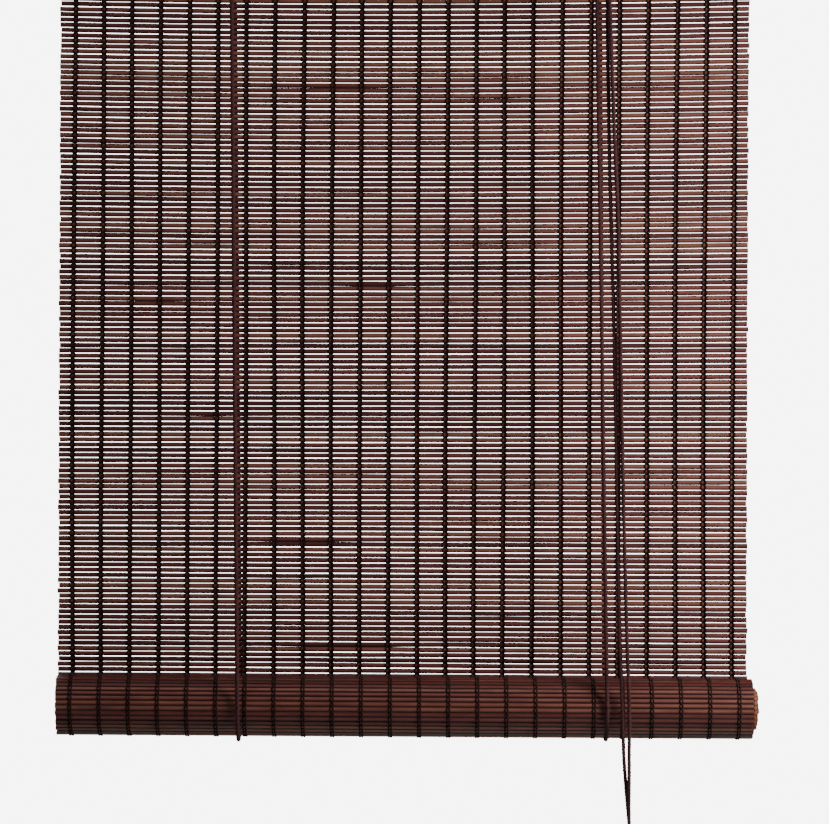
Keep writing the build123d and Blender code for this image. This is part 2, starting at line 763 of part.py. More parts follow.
print(f"roll: {half_turns} half turns, axis at y {roll_y:.1f}, z {roll_z:.1f}")
print(f"lift {roll_lift:.2f} mm, upper slats {upper_slats}, lower slats {lower_slats}")
print(f"lower mat from z {lower_top_z:.2f} to {lower_bottom_z:.2f}")
print(f"sheaves at y {rear_sheave_y:.2f} and {front_sheave_y:.2f}, z {sheave_z:.2f}")
print(f"left sheave x {left_sheave_x:.2f}, lock sheave x {lock_sheave_x:.2f}")
print(f"cam at x {cam_x:.2f}, z {cam_z:.2f}; wall screws at x +-{bracket_x:.1f}")
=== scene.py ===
import json
import math
import random
import bpy
import numpy as np
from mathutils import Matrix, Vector


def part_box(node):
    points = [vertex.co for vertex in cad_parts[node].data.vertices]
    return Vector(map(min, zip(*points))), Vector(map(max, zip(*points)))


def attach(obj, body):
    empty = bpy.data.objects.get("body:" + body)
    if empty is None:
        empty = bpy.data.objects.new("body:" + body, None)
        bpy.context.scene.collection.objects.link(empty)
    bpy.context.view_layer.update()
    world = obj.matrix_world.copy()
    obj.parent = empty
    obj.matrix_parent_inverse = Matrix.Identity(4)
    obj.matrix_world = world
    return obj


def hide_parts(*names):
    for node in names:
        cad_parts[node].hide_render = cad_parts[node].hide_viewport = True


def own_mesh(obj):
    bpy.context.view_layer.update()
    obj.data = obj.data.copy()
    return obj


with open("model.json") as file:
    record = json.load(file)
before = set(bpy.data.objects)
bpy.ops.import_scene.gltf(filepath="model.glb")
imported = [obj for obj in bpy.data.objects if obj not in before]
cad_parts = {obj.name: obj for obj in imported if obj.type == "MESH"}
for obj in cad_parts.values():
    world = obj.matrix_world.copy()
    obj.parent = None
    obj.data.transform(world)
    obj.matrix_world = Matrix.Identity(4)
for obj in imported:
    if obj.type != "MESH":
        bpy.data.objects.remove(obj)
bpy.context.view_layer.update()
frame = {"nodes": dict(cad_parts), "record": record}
record = frame["record"]
mm = 0.001


def jointPlace(name):
    return next(j["pos_m"] for j in record["behaviour"]["joints"] if j["name"] == name)


def smooth(t):
    t = np.clip(t, 0.0, 1.0)
    return t * t * (3 - 2 * t)


# Places, all taken from the frame
upperLow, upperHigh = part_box("mat_slats_upper")
lowerLow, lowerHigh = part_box("mat_slats_lower")
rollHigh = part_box("rolled_mat")[1]
rollAxis = Vector(jointPlace("roll_spin"))
liftRange = next(j["range_m"][1] for j in record["behaviour"]["joints"] if j["name"] == "roll_lift")
slatThick = upperHigh[1] - upperLow[1]
matMiddleY = (upperHigh[1] + upperLow[1]) / 2
matHalf = (upperHigh[0] - upperLow[0]) / 2


# Node trees: one wrapper for sockets, one method that adds a node
class Wire:
    def __init__(self, sheet, socket):
        self.sheet, self.socket = sheet, socket

    def maths(self, operation, *values):
        return self.sheet.add("ShaderNodeMath", {"operation": operation}, dict(enumerate(values)))

    def __add__(self, other): return self.maths("ADD", self, other)
    def __radd__(self, other): return self.maths("ADD", other, self)
    def __sub__(self, other): return self.maths("SUBTRACT", self, other)
    def __rsub__(self, other): return self.maths("SUBTRACT", other, self)
    def __mul__(self, other): return self.maths("MULTIPLY", self, other)
    def __rmul__(self, other): return self.maths("MULTIPLY", other, self)
    def __truediv__(self, other): return self.maths("DIVIDE", self, other)
    def __pow__(self, other): return self.maths("POWER", self, other)
    def __abs__(self): return self.maths("ABSOLUTE", self)
    def cos(self): return self.maths("COSINE", self)
    def sin(self): return self.maths("SINE", self)
    def band(self, low, high):  # 0 at low, 1 at high, smooth between
        return self.sheet.add(
            "ShaderNodeMapRange", {"interpolation_type": "SMOOTHSTEP"},
            {"Value": self, "From Min": low, "From Max": high},
        )


class Sheet:
    def __init__(self, tree):
        self.tree = tree

    def add(self, kind, settings=None, values=None, out=0):
        node = self.tree.nodes.new(kind)
        for key, value in (settings or {}).items():
            if key == "stops":
                ramp = node.color_ramp.elements
                for index, (place, colour) in enumerate(value):
                    stop = ramp[index] if index < 2 else ramp.new(place)
                    stop.position, stop.color = place, (*colour, 1)
            else:
                setattr(node, key, value)
        for key, value in (values or {}).items():
            if isinstance(value, Wire):
                self.tree.links.new(value.socket, node.inputs[key])
            else:
                node.inputs[key].default_value = value
        return Wire(self, node.outputs[out])

    def mix(self, factor, first, second, blend="MIX"):
        node = {"data_type": "RGBA", "blend_type": blend}
        return self.add("ShaderNodeMix", node, {0: factor, 6: first, 7: second}, 2)

    def vector(self, x, y, z):
        return self.add("ShaderNodeCombineXYZ", None, {0: x, 1: y, 2: z})


def newMaterial(name, **constants):
    material = bpy.data.materials.new(name)
    material.use_nodes = True
    shader = material.node_tree.nodes["Principled BSDF"]
    for key, value in constants.items():
        shader.inputs[key.replace("_", " ")].default_value = value
    return material, Sheet(material.node_tree), shader


def feed(sheet, shader, **links):
    for key, wire in links.items():
        sheet.tree.links.new(wire.socket, shader.inputs[key.replace("_", " ")])


def noise(sheet, vector, scale, detail=3.0, rough=0.55):
    values = {"Vector": vector, "Scale": scale, "Detail": detail, "Roughness": rough}
    return sheet.add("ShaderNodeTexNoise", None, values, "Fac")


def bumped(sheet, height, strength, distance):
    values = {"Height": height, "Strength": strength, "Distance": distance}
    return sheet.add("ShaderNodeBump", None, values)


def attribute(sheet, name):
    return sheet.add("ShaderNodeAttribute", {"attribute_name": name}, None, "Fac")


def objectPlace(sheet):
    place = sheet.add("ShaderNodeTexCoord", None, None, "Object")
    split = sheet.tree.nodes.new("ShaderNodeSeparateXYZ")
    sheet.tree.links.new(place.socket, split.inputs[0])
    return place, [Wire(sheet, output) for output in split.outputs]


# Stained bamboo: one tone a slat, streaks along it, edges darkened partly by pooled stain and partly by painted shade,
# painted shade along each slat's underside, pale cut ends and scuffs
bambooFinish = {
    "tones": [
        (0.0, (0.026, 0.006, 0.006)),
        (0.22, (0.046, 0.010, 0.009)),
        (0.42, (0.066, 0.014, 0.013)),
        (0.62, (0.086, 0.021, 0.017)),
        (0.82, (0.118, 0.040, 0.027)),
        (1.0, (0.060, 0.022, 0.016)),
    ],
    # dark colour for stain pooled at the slat edges and for painted shade on the edges and undersides
    "pooledStainAndShade": (0.006, 0.002, 0.002, 1),
    "cutEnd": (0.25, 0.10, 0.055, 1),
    "barePast": (301.6 * mm, 303.4 * mm),
    "scuff": (0.42, 0.25, 0.18, 1),
    "streakScale": 900.0,
    "shade": (0.14, 0.72, 0.6),  # least, a slat's share and the patches' share
    "edgeStainAndShade": 0.85,
    # strength of the painted shade on the lower part of each slat
    "paintedUnderShade": 0.7,
    "coat": 0.12,
    "roughness": 0.46,
}


def bambooMaterial():
    finish = bambooFinish
    material, sheet, shader = newMaterial("stainedBamboo", Coat_Roughness=0.3, Specular_IOR_Level=0.2)
    place, (x, y, z) = objectPlace(sheet)
    tone, across = attribute(sheet, "tone"), attribute(sheet, "across")
    patches = noise(sheet, sheet.vector(x * 26, tone * 83, tone * 31), 1.0, 3.0)
    streaks = noise(sheet, sheet.vector(x * 22, y * finish["streakScale"], z * finish["streakScale"]), 1.0, 4.0)
    least, toneShare, patchShare = finish["shade"]
    shade = least + tone * toneShare + (patches - 0.5) * patchShare
    colour = sheet.add("ShaderNodeValToRGB", {"stops": finish["tones"]}, {0: shade})
    light = 0.55 + streaks * 0.9
    colour = sheet.mix(1.0, colour, sheet.vector(light, light, light), "MULTIPLY")
    # both long edges of each slat darkened: partly real pooled stain, partly painted shade between the slats
    edge = abs(across).band(0.4, 1.0) * finish["edgeStainAndShade"]
    colour = sheet.mix(edge, colour, finish["pooledStainAndShade"])
    # painted shade: the lower part of each slat darkened as if lit from above
    colour = sheet.mix((0 - across).band(-0.1, 0.7) * finish["paintedUnderShade"], colour, finish["pooledStainAndShade"])
    specks = noise(sheet, place, 210.0, 4.0, 0.7)
    patch = noise(sheet, place, 9.0, 1.0)
    scuffs = specks.band(0.70, 0.76) * patch.band(0.60, 0.68)
    colour = sheet.mix(scuffs * 0.7, colour, finish["scuff"])
    bare = attribute(sheet, "cutEnd") + x.band(*finish["barePast"]) * (0.35 + streaks * 0.5)
    colour = sheet.mix(bare.maths("MINIMUM", bare, 1.0), colour, finish["cutEnd"])
    feed(
        sheet, shader, Base_Color=colour, Roughness=finish["roughness"] + (streaks - 0.5) * 0.3,
        Coat_Weight=finish["coat"] * (1 - edge), Normal=bumped(sheet, streaks, 0.5, 0.0004),
    )
    return material


# Twisted cotton: the lay runs along the strand, with a few loose fibres
def cottonMaterial(name, dark, pale, fibre=2600.0):
    material, sheet, shader = newMaterial(name, Sheen_Weight=0.03, Sheen_Roughness=0.5, Specular_IOR_Level=0.06)
    place, _ = objectPlace(sheet)
    fine = noise(sheet, place, fibre, 3.0, 0.7)
    slow = noise(sheet, place, 60.0, 2.0)
    colour = sheet.mix(fine.band(0.35, 0.7), (*dark, 1), (*pale, 1))
    colour = sheet.mix(slow.band(0.45, 0.75) * 0.5, colour, (*dark, 1))
    feed(sheet, shader, Base_Color=colour, Roughness=0.78 + fine * 0.18, Normal=bumped(sheet, fine, 0.6, 0.0002))
    return material


# Plain stained softwood: long grain along one axis
def timberMaterial(name, dark, pale, grain, roughness=0.5):
    material, sheet, shader = newMaterial(name, Coat_Roughness=0.35)
    _, (x, y, z) = objectPlace(sheet)
    lines = noise(sheet, sheet.vector(x * grain[0], y * grain[1], z * grain[2]), 1.0, 5.0, 0.6)
    pores = noise(sheet, sheet.vector(x * grain[0] * 4, y * grain[1] * 4, z * grain[2] * 4), 1.0, 2.0)
    colour = sheet.mix(lines.band(0.3, 0.72), (*dark, 1), (*pale, 1))
    colour = sheet.mix(pores.band(0.62, 0.75) * 0.5, colour, (*dark, 1))
    feed(
        sheet, shader, Base_Color=colour, Roughness=roughness + lines * 0.2,
        Coat_Weight=0.2 + pores * 0.1, Normal=bumped(sheet, lines, 0.35, 0.0003),
    )
    return material


# Pressed and zinc plated steel, and dark moulded nylon
def steelMaterial(name, tint, roughness, brushing):
    material, sheet, shader = newMaterial(name, Metallic=1.0)
    place, (x, y, z) = objectPlace(sheet)
    brushed = noise(sheet, sheet.vector(x * brushing[0], y * brushing[1], z * brushing[2]), 1.0, 3.0)
    spangle = noise(sheet, place, 320.0, 2.0)
    colour = sheet.mix(spangle.band(0.35, 0.7), (*[c * 0.72 for c in tint], 1), (*tint, 1))
    feed(
        sheet, shader, Base_Color=colour, Roughness=roughness + (brushed - 0.5) * 0.3,
        Normal=bumped(sheet, brushed, 0.2, 0.0001),
    )
    return material


def nylonMaterial(name, tint):
    material, sheet, shader = newMaterial(name)
    place, _ = objectPlace(sheet)
    cloud, grit = noise(sheet, place, 90.0, 2.0), noise(sheet, place, 2200.0, 2.0)
    colour = sheet.mix(cloud.band(0.3, 0.7), (*tint, 1), (*[c * 1.5 for c in tint], 1))
    feed(sheet, shader, Base_Color=colour, Roughness=0.42 + grit * 0.2, Normal=bumped(sheet, grit, 0.15, 0.0001))
    return material


bamboo = bambooMaterial()
threadCotton = cottonMaterial("threadCotton", (0.004, 0.001, 0.001), (0.022, 0.006, 0.004))
cordCotton = cottonMaterial("cordCotton", (0.014, 0.0045, 0.005), (0.072, 0.026, 0.029), 1500.0)
battenWood = timberMaterial("battenWood", (0.020, 0.008, 0.006), (0.075, 0.028, 0.018), (9, 420, 420))
acornWood = timberMaterial("acornWood", (0.022, 0.008, 0.006), (0.085, 0.032, 0.020), (500, 500, 40), 0.35)
rodWood = timberMaterial("rodWood", (0.11, 0.055, 0.030), (0.24, 0.135, 0.075), (9, 500, 500), 0.6)
zincSteel = steelMaterial("zincSteel", (0.62, 0.62, 0.64), 0.34, (900, 60, 60))
pressedSteel = steelMaterial("pressedSteel", (0.42, 0.42, 0.43), 0.38, (60, 60, 1100))
brightWire = steelMaterial("brightWire", (0.72, 0.72, 0.72), 0.25, (600, 600, 600))
darkNylon = nylonMaterial("darkNylon", (0.020, 0.016, 0.015))
print("materials made")


# Pieces: from arrays to objects
def addPiece(name, mesh, material, body):
    piece = bpy.data.objects.new(name, mesh)
    bpy.context.scene.collection.objects.link(piece)
    if not mesh.materials:
        mesh.materials.append(material)
    mesh.polygons.foreach_set("use_smooth", [True] * len(mesh.polygons))
    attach(piece, body)
    return piece


def meshFrom(name, points, faces):
    mesh = bpy.data.meshes.new(name)
    mesh.from_pydata([tuple(p) for p in points], [], faces)
    mesh.update()
    return mesh


def warp(mesh, bend):
    flat = np.empty(len(mesh.vertices) * 3)
    mesh.vertices.foreach_get("co", flat)
    places = flat.reshape(-1, 3)
    mesh.vertices.foreach_set("co", bend(places.copy()).ravel())
    mesh.update()


def baked(source, tree, inputs):
    modifier = source.modifiers.new("build", "NODES")
    modifier.node_group = tree
    for item in tree.interface.items_tree:
        if item.item_type == "SOCKET" and item.in_out == "INPUT" and item.name in inputs:
            modifier[item.identifier] = inputs[item.name]
    bpy.context.view_layer.update()
    evaluated = source.evaluated_get(bpy.context.evaluated_depsgraph_get())
    mesh = bpy.data.meshes.new_from_object(evaluated)
    source.modifiers.remove(modifier)
    bpy.data.objects.remove(source)
    return mesh


def newTree(name, inputs):
    tree = bpy.data.node_groups.new(name, "GeometryNodeTree")
    tree.interface.new_socket("Geometry", in_out="INPUT", socket_type="NodeSocketGeometry")
    for label, kind in inputs.items():
        tree.interface.new_socket(label, in_out="INPUT", socket_type=f"NodeSocket{kind}")
    tree.interface.new_socket("Geometry", in_out="OUTPUT", socket_type="NodeSocketGeometry")
    sheet = Sheet(tree)
    given = tree.nodes.new("NodeGroupInput")
    wires = {output.name: Wire(sheet, output) for output in given.outputs if output.name}
    return tree, sheet, wires


def finishTree(sheet, geometry, material):
    realised = sheet.add("GeometryNodeRealizeInstances", None, {0: geometry})
    finished = sheet.add("GeometryNodeSetMaterial", None, {"Geometry": realised, "Material": material})
    end = sheet.tree.nodes.new("NodeGroupOutput")
    sheet.tree.links.new(finished.socket, end.inputs[0])


# One slat blank, a unit long, with extra rings near its ends for the cut faces
slatBlank = {"height": 4.22 * mm, "cadHeight": 3.5 * mm, "rings": 24, "endRing": 0.0009, "crown": 0.3 * mm}


def makeSlatBlank():
    high, thick = slatBlank["height"] / 2, slatThick / 2
    crown = slatBlank["crown"]
    outline = [
        (-thick - crown, 0.0), (-thick - crown * 0.4, -high * 0.6), (-thick * 0.6, -high), (thick * 0.6, -high),
        (thick + crown * 0.2, -high * 0.6), (thick + crown * 0.2, high * 0.6), (thick * 0.6, high),
        (-thick * 0.6, high), (-thick - crown * 0.4, high * 0.6),
    ]
    inner = 0.5 - slatBlank["endRing"]
    xs = [-0.5, *np.linspace(-inner, inner, slatBlank["rings"]), 0.5]
    points = [(x, y, z) for x in xs for y, z in outline]
    count = len(outline)
    faces = []
    for ring in range(len(xs) - 1):
        for side in range(count):
            a, b = ring * count + side, ring * count + (side + 1) % count
            faces.append((a, b, b + count, a + count))
    faces.append(tuple(range(count)))
    last = (len(xs) - 1) * count
    faces.append(tuple(range(last + count - 1, last - 1, -1)))
    mesh = meshFrom("slatBlank", points, [face[::-1] for face in faces])
    across = mesh.attributes.new("across", "FLOAT", "POINT")
    across.data.foreach_set("value", [z / high for _, _, z in points])
    cut = mesh.attributes.new("cutEnd", "FLOAT", "POINT")
    cut.data.foreach_set("value", [1.0 if abs(x) == 0.5 else 0.0 for x, _, _ in points])
    blank = bpy.data.objects.new("slatBlank", mesh)
    bpy.context.scene.collection.objects.link(blank)
    return blank


def makeSlatTree():
    tree, sheet, given = newTree("slatsOnPoints", {"Blank": "Object", "Wobble": "Float", "Material": "Material"})
    blank = sheet.add("GeometryNodeObjectInfo", None, {"Object": given["Blank"]}, "Geometry")

    def named(name):
        return sheet.add("GeometryNodeInputNamedAttribute", {"data_type": "FLOAT"}, {"Name": name})

    placed = sheet.add(
        "GeometryNodeInstanceOnPoints", None,
        {
            "Points": given["Geometry"], "Instance": blank,
            "Rotation": sheet.vector(named("turn"), 0.0, 0.0),
            "Scale": sheet.vector(named("length"), 1.0, named("height")),
        },
    )
    realised = sheet.add("GeometryNodeRealizeInstances", None, {0: placed})
    place = sheet.add("GeometryNodeInputPosition")
    split = sheet.tree.nodes.new("ShaderNodeSeparateXYZ")
    sheet.tree.links.new(place.socket, split.inputs[0])
    along = Wire(sheet, split.outputs[0])
    tone = named("tone")
    rise = noise(sheet, sheet.vector(along * 7, tone * 411, 0.0), 1.0, 2.0) - 0.5
    push = noise(sheet, sheet.vector(along * 9, tone * 173, 7.0), 1.0, 2.0) - 0.5
    offset = sheet.vector(0.0, push * given["Wobble"], rise * given["Wobble"] * 2)
    moved = sheet.add("GeometryNodeSetPosition", None, {"Geometry": realised, "Offset": offset})
    finishTree(sheet, moved, given["Material"])
    return tree


blankSlat = makeSlatBlank()
slatTree = makeSlatTree()


def slatPoints(name, rows):
    # rows: (x, y, z, turn, length, height, tone)
    mesh = meshFrom(name, [row[:3] for row in rows], [])
    for index, label in enumerate(("turn", "length", "height", "tone"), start=3):
        values = mesh.attributes.new(label, "FLOAT", "POINT")
        values.data.foreach_set("value", [row[index] for row in rows])
    points = bpy.data.objects.new(name, mesh)
    bpy.context.scene.collection.objects.link(points)
    return points


# The hanging mat: its weave drifts, sags and leans a little on the way down
hanging = {
    "seed": 11, "pitch": 4.58 * mm, "raggedEnd": 0.9 * mm, "heightSpread": 0.045, "wobble": 0.42 * mm,
    "driftTop": 3.9 * mm, "driftStart": 0.12, "driftRate": 0.6, "driftFade": 0.11, "driftBottom": -1.0 * mm,
    "sag": 3.0 * mm, "sagPeak": 0.2, "sagFade": 0.62, "tiltFrom": 0.55, "rollTilt": math.tan(math.radians(0.36)),
    "leanHeight": 30 * mm, "foldedShare": 0.006, "rollEase": 0.3 * mm, "rollFlat": 4.8 * mm, "rollFull": 29.6 * mm,
}
matTop, matBottom = upperHigh[2], lowerLow[2]
rollOuterMid = rollHigh[1] - slatThick / 2 - hanging["rollEase"]


def pressed(y):
    # the roll's back is flatter where the mat hangs against it
    depth = np.clip(y - rollAxis.y, 0, None)
    return y - hanging["rollFlat"] * (depth / hanging["rollFull"]) ** 2


def hangWarp(places):
    x, z = places[:, 0].copy(), places[:, 2].copy()
    down = (matTop - z) / (matTop - matBottom)
    start = smooth(down / hanging["driftStart"])
    drift = hanging["driftTop"] * np.exp(-down * hanging["driftRate"] / hanging["driftFade"]) * start
    places[:, 0] += drift + hanging["driftBottom"] * smooth((down - 0.3) / 0.7)
    bowl = smooth(down / hanging["sagPeak"]) * (1 - smooth((down - hanging["sagPeak"]) / hanging["sagFade"]))
    places[:, 2] -= hanging["sag"] * bowl * (1 - (x / matHalf) ** 2)
    tilt = smooth((down - hanging["tiltFrom"]) / (1 - hanging["tiltFrom"]))
    places[:, 2] -= x * hanging["rollTilt"] * tilt
    lean = smooth((matBottom + hanging["leanHeight"] - z) / hanging["leanHeight"])
    places[:, 1] += (float(pressed(rollOuterMid)) - matMiddleY) * lean
    return places


def matRows(top, count):
    rows = []
    for index in range(count):
        z = top - slatBlank["cadHeight"] / 2 - index * hanging["pitch"]
        end = random.uniform(-1, 1) * hanging["raggedEnd"]
        length = 2 * matHalf + random.uniform(-1, 1) * hanging["raggedEnd"]
        height = 1 + random.uniform(-1, 1) * hanging["heightSpread"]
        rows.append((end / 2, matMiddleY, z, 0.0, length, height, random.random()))
    return rows


random.seed(hanging["seed"])
slatInputs = {"Blank": blankSlat, "Wobble": hanging["wobble"], "Material": bamboo}
upperCount = round((upperHigh[2] - upperLow[2] + hanging["pitch"] - slatBlank["cadHeight"]) / hanging["pitch"])
lowerCount = round((lowerHigh[2] - lowerLow[2] + hanging["pitch"] - slatBlank["cadHeight"]) / hanging["pitch"])
for label, top, count in (("upper", upperHigh[2], upperCount), ("lower", lowerHigh[2], lowerCount)):
    mesh = baked(slatPoints(f"{label}Points", matRows(top, count)), slatTree, slatInputs)
    warp(mesh, hangWarp)
    piece = addPiece(f"{label}Slats", mesh, bamboo, "head")
    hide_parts(f"mat_slats_{label}")
    if label == "lower":
        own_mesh(piece)
print("hanging slats", upperCount, lowerCount)


# The binding threads: two strands on each face cross in every gap
binding = {
    "columns": 24, "spacing": 25.0 * mm, "reach": 1.9 * mm, "radius": 0.92 * mm, "seat": 0.5 * mm,
    "frontSteps": 4, "backSteps": 2, "sides": 4, "crossing": 0.28 * mm, "frontPinch": 0.3,
    "jitter": 0.7 * mm, "rollReach": 1.35 * mm, "rollRadius": 0.72 * mm,
}


def makeThreadTree():
    names = {
        "Top": "Float", "Pitch": "Float", "Count": "Int", "Steps": "Int", "Columns": "Int", "Spacing": "Float",
        "Reach": "Float", "Seat": "Float", "Radius": "Float", "Sides": "Int", "Middle": "Float",
        "Hand": "Float", "Crossing": "Float", "Pinch": "Float", "Material": "Material",
    }
    tree, sheet, given = newTree("bindingThreads", names)
    line = sheet.add("GeometryNodeCurvePrimitiveLine", None, {"Start": (0, 0, 0), "End": (0, 0, -1)})
    samples = given["Count"] * given["Steps"] + 1
    fine = sheet.add("GeometryNodeResampleCurve", None, {"Curve": line, "Count": samples})
    step = sheet.add("GeometryNodeInputIndex") / given["Steps"]
    wave = (step * math.pi).sin()  # 0 in each gap, 1 over each slat
    over = abs(wave) ** 0.6
    straight = 1 - given["Pinch"] * (1 - over)  # stays on its own side, drawn in at each gap
    crossed = given["Pinch"].maths("COMPARE", given["Pinch"], 0.0, 0.001)
    x = (wave * crossed + straight * (1 - crossed)) * given["Reach"] * given["Hand"]
    y = given["Middle"] + given["Seat"] * (0.25 + 0.75 * over) + given["Crossing"] * given["Hand"]
    z = given["Top"] - step * given["Pitch"]
    shaped = sheet.add("GeometryNodeSetPosition", None, {"Geometry": fine, "Position": sheet.vector(x, y, z)})
    ring = sheet.add(
        "GeometryNodeCurvePrimitiveCircle", None,
        {"Resolution": given["Sides"], "Radius": given["Radius"]},
    )
    tube = sheet.add(
        "GeometryNodeCurveToMesh", None, {"Curve": shaped, "Profile Curve": ring, "Fill Caps": True},
    )
    row = sheet.add(
        "GeometryNodeMeshLine", None,
        {
            "Count": given["Columns"], "Offset": sheet.vector(given["Spacing"], 0.0, 0.0),
            "Start Location": sheet.vector((given["Columns"] - 1) * given["Spacing"] * -0.5, 0.0, 0.0),
        },
    )
    placed = sheet.add("GeometryNodeInstanceOnPoints", None, {"Points": row, "Instance": tube})
    finishTree(sheet, placed, given["Material"])
    return tree


threadTree = makeThreadTree()


def threadMesh(tree, inputs):
    holder = bpy.data.objects.new("threadHolder", bpy.data.meshes.new("threadHolder"))
    bpy.context.scene.collection.objects.link(holder)
    return baked(holder, tree, inputs)


def columnJitter(places):
    column = np.round(places[:, 0] / binding["spacing"] + 0.5)
    places[:, 0] += binding["jitter"] * np.sin(column * 12.9898) * np.cos(places[:, 2] * 9 + column)
    return places


def joined(name, meshes, sign):
    # the columns on one side of the middle, from several meshes, as one
    points, faces = [], []
    for mesh in meshes:
        places = {}
        for polygon in mesh.polygons:
            if polygon.center.x * sign < 0:
                continue
            for index in polygon.vertices:
                if index not in places:
                    places[index] = len(points)
                    points.append(tuple(mesh.vertices[index].co))
            faces.append(tuple(places[index] for index in polygon.vertices))
    return meshFrom(name, points, faces)


for label, top, count in (("upper", upperHigh[2], upperCount), ("lower", lowerHigh[2], lowerCount)):
    for face, side, steps in (("front", -1, binding["frontSteps"]), ("back", 1, binding["backSteps"])):
        strands = []
        for hand in (-1, 1):
            inputs = {
                "Top": top + (hanging["pitch"] - slatBlank["cadHeight"]) / 2, "Pitch": hanging["pitch"],
                "Count": count, "Steps": steps, "Columns": binding["columns"], "Spacing": binding["spacing"],
                "Reach": binding["reach"], "Seat": side * (slatThick / 2 + binding["seat"]),
                "Radius": binding["radius"], "Sides": binding["sides"], "Middle": matMiddleY,
                "Hand": float(hand), "Crossing": side * binding["crossing"], "Material": threadCotton,
                "Pinch": binding["frontPinch"] if side < 0 else 0.0,
            }
            mesh = threadMesh(threadTree, inputs)
            warp(mesh, columnJitter)
            warp(mesh, hangWarp)
            strands.append(mesh)
        for half, sign in (("Left", -1), ("Right", 1)):
            name = f"{face}Threads{label.title()}{half}"
            piece = addPiece(name, joined(name, strands, sign), threadCotton, "head")
            if half == "Left":
                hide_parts(f"{face}_threads_{label}")
            if label == "lower":
                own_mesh(piece)
print("binding threads done")


# The roll: the same slats wound round the rod, the inner turns crept out to the right
winding = {
    "seed": 23, "pitch": 4.25 * mm, "layer": 2.0 * mm, "start": -1.3 * mm, "turns": 7.35, "wobble": 0.12 * mm,
    "creep": 3.2 * mm, "creepFrom": 3.55, "lateCreep": 1.8 * mm, "shift": 1.0 * mm, "ragged": 0.8 * mm,
    "creepOver": 0.5, "lateCreepOver": 3, "heightSpread": 0.04, "pitchSpread": 0.03,
    "outerMid": 26.1 * mm, "threadTurns": 1.06, "threadSteps": 4,
}


def spiral(distance):
    # the angle from the back tangent point and the radius after a distance along the sheet
    radius, fall = winding["outerMid"], winding["layer"] / (2 * math.pi)
    angle = (radius - math.sqrt(max(radius * radius - 2 * fall * distance, 0.0))) / fall
    return angle, radius - fall * angle


def rollWarp(places):
    places[:, 1] = pressed(places[:, 1])
    places[:, 2] -= places[:, 0] * hanging["rollTilt"]
    return places


random.seed(winding["seed"])
rows, distance = [], winding["start"]
while True:
    angle, radius = spiral(distance)
    turn = angle / (2 * math.pi)
    if turn > winding["turns"]:
        break
    late = turn - winding["creepFrom"] - winding["creepOver"]
    creep = winding["creep"] * float(smooth((turn - winding["creepFrom"]) / winding["creepOver"]))
    creep += winding["lateCreep"] * float(smooth(late / winding["lateCreepOver"]))
    x = winding["shift"] + creep + random.uniform(-1, 1) * winding["ragged"] / 2
    y, z = rollAxis.y + radius * math.cos(angle), rollAxis.z - radius * math.sin(angle)
    length = 2 * matHalf + random.uniform(-1, 1) * winding["ragged"]
    height = 1 + random.uniform(-1, 1) * winding["heightSpread"]
    rows.append((x, y, z, math.pi - angle, length, height, random.random()))
    distance += winding["pitch"] * random.uniform(1 - winding["pitchSpread"], 1 + winding["pitchSpread"])
rollInputs = {"Blank": blankSlat, "Wobble": winding["wobble"], "Material": bamboo}
rollMesh = baked(slatPoints("rollPoints", rows), slatTree, rollInputs)
warp(rollMesh, rollWarp)
rolledSlats = addPiece("rolledSlats", rollMesh, bamboo, "roll")
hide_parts("rolled_mat")
print("rolled slats", len(rows))


def rollThread(columnX, hand):
    steps = int(winding["threadTurns"] * 2 * math.pi * winding["outerMid"] / winding["pitch"]) * winding["threadSteps"]
    points = []
    for step in range(steps + 1):
        phase = step / winding["threadSteps"]
        angle, radius = spiral(winding["start"] + (phase - 0.5) * winding["pitch"])
        wave = math.sin(phase * math.pi)
        lift = (slatThick / 2 + binding["seat"] * 0.8) * (0.3 + 0.7 * abs(wave) ** 0.6) + 0.2 * mm * hand
        far = radius + lift
        points.append(Vector((
            columnX + wave * binding["rollReach"] * hand,
            rollAxis.y + far * math.cos(angle), rollAxis.z - far * math.sin(angle),
        )))
    return points


def tube(points, radius, sides):
    # a plain tube along points, with its frame carried from ring to ring
    tangents = [(points[min(i + 1, len(points) - 1)] - points[max(i - 1, 0)]).normalized() for i in range(len(points))]
    normal = tangents[0].orthogonal().normalized()
    rings, faces = [], []
    for place, tangent in zip(points, tangents):
        normal = (normal - tangent * normal.dot(tangent)).normalized()
        other = tangent.cross(normal)
        for side in range(sides):
            turn = 2 * math.pi * side / sides
            rings.append(place + (normal * math.cos(turn) + other * math.sin(turn)) * radius)
    for ring in range(len(points) - 1):
        for side in range(sides):
            a, b = ring * sides + side, ring * sides + (side + 1) % sides
            faces.append((a, b, b + sides, a + sides))
    faces.append(tuple(range(sides - 1, -1, -1)))
    last = (len(points) - 1) * sides
    faces.append(tuple(range(last, last + sides)))
    return rings, faces


def gather(parts):
    points, faces = [], []
    for rings, sides in parts:
        start = len(points)
        points += rings
        faces += [tuple(i + start for i in face) for face in sides]
    return points, faces


firstColumn = -(binding["columns"] - 1) / 2 * binding["spacing"]
columnPlaces = [firstColumn + k * binding["spacing"] + winding["shift"] for k in range(binding["columns"])]
parts = [tube(rollThread(x, hand), binding["rollRadius"], 4) for x in columnPlaces for hand in (-1, 1)]
rollThreads = meshFrom("rollThreads", *gather(parts))
warp(rollThreads, rollWarp)
addPiece("rollThreads", rollThreads, threadCotton, "roll")
print("roll threads done")


# Cords: three plies laid round each centreline
cordMake = {"radius": 1.95 * mm, "plies": 3, "plyRadius": 1.12 * mm, "lay": 9.0 * mm, "step": 1.5 * mm, "sides": 6}


